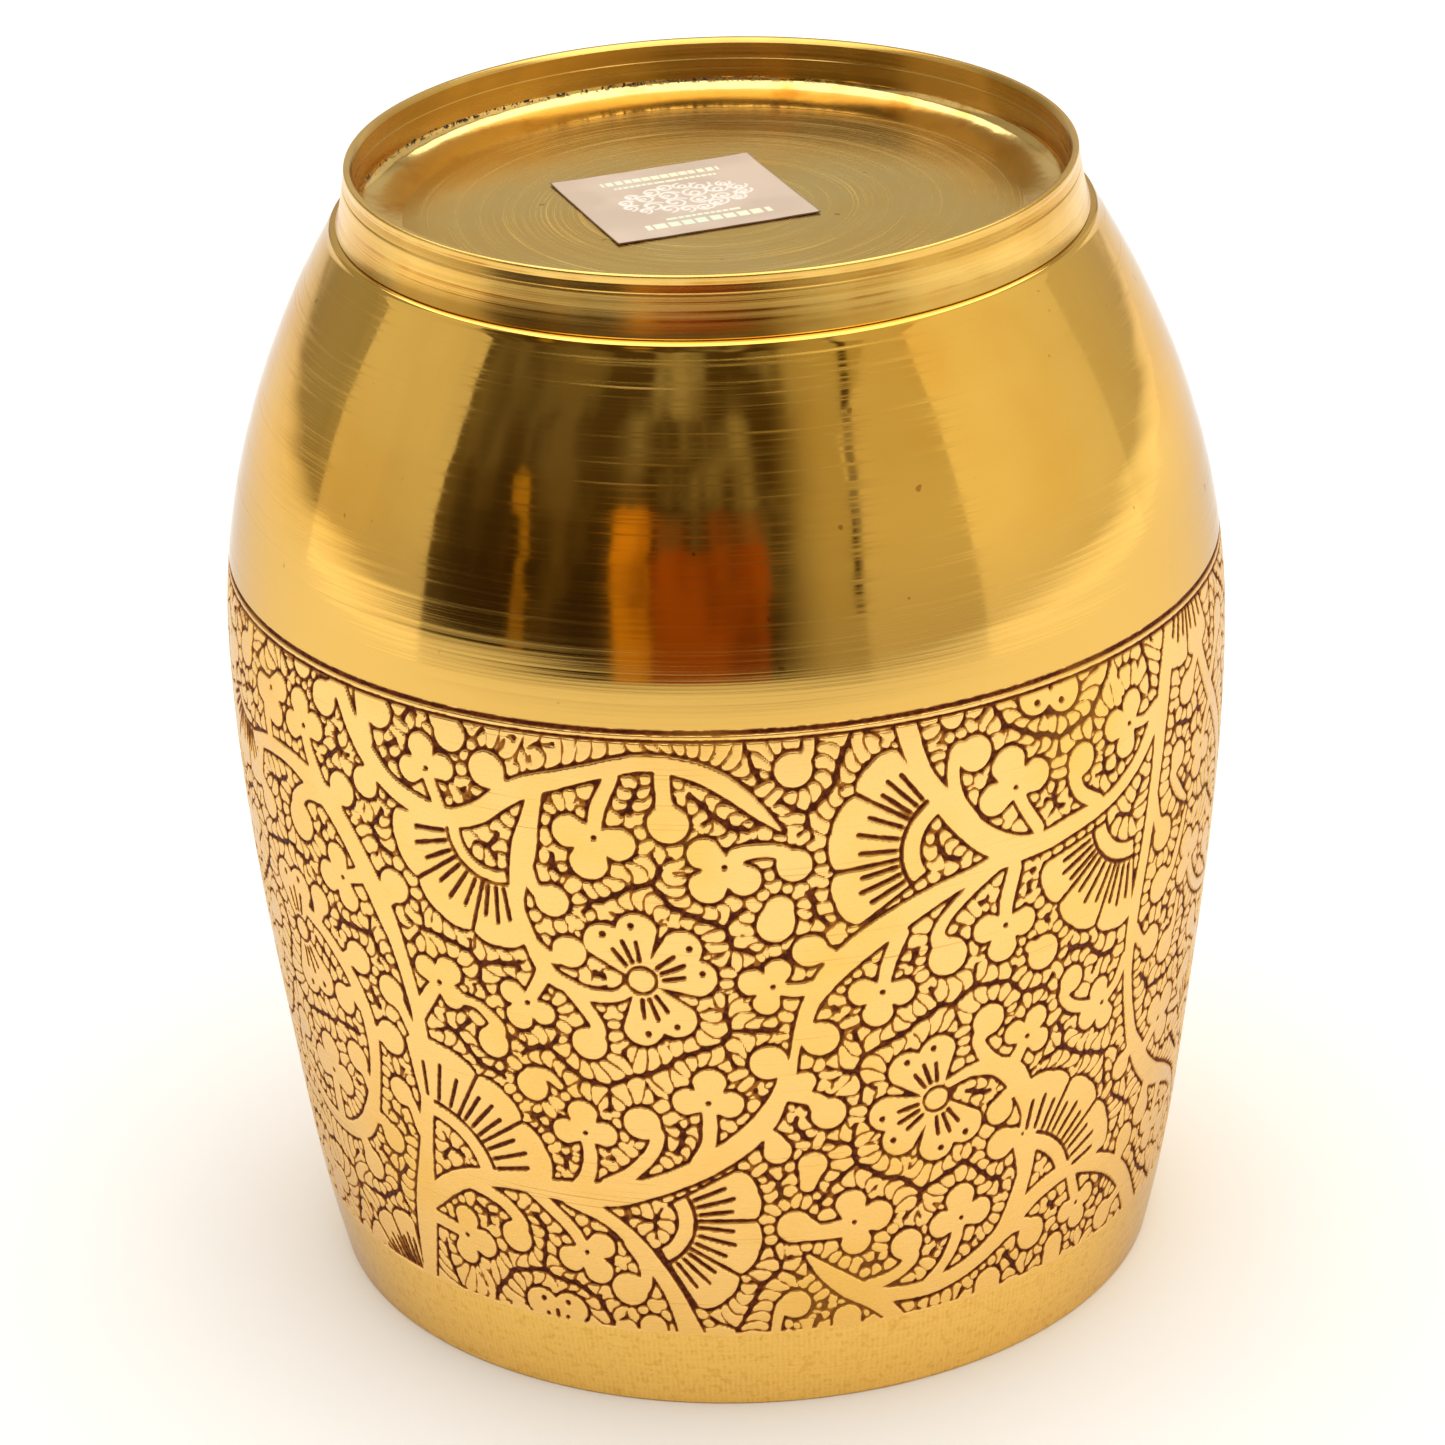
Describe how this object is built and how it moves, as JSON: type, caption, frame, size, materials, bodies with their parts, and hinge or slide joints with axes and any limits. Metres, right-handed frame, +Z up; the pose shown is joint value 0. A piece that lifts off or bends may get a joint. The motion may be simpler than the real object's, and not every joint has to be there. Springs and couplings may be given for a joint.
{
  "type": "lota water pot",
  "caption": "Barrel-shaped etched brass lota with a turned foot ring, shown resting upside down on its wide plain mouth.",
  "frame": {"origin": "centre of the mouth's plane, which the upside-down pot stands on", "axes": "+Z up along the axis of turning, from the mouth to the foot ring; -Y towards the viewer; +X to the viewer's right"},
  "size_m": [0.1122, 0.1122, 0.13],
  "materials": {
    "polished_brass": "spun, polished and etched",
    "lathed_brass": "turned on a lathe",
    "braze": "rough, with dark flux residue",
    "foil_paper": "glossy foil-faced paper"
  },
  "bodies": {
    "root": {"body_shell": "polished_brass", "foot_ring": "lathed_brass", "braze_fillet": "braze", "base_label": "foil_paper"}
  },
  "joints": []
}
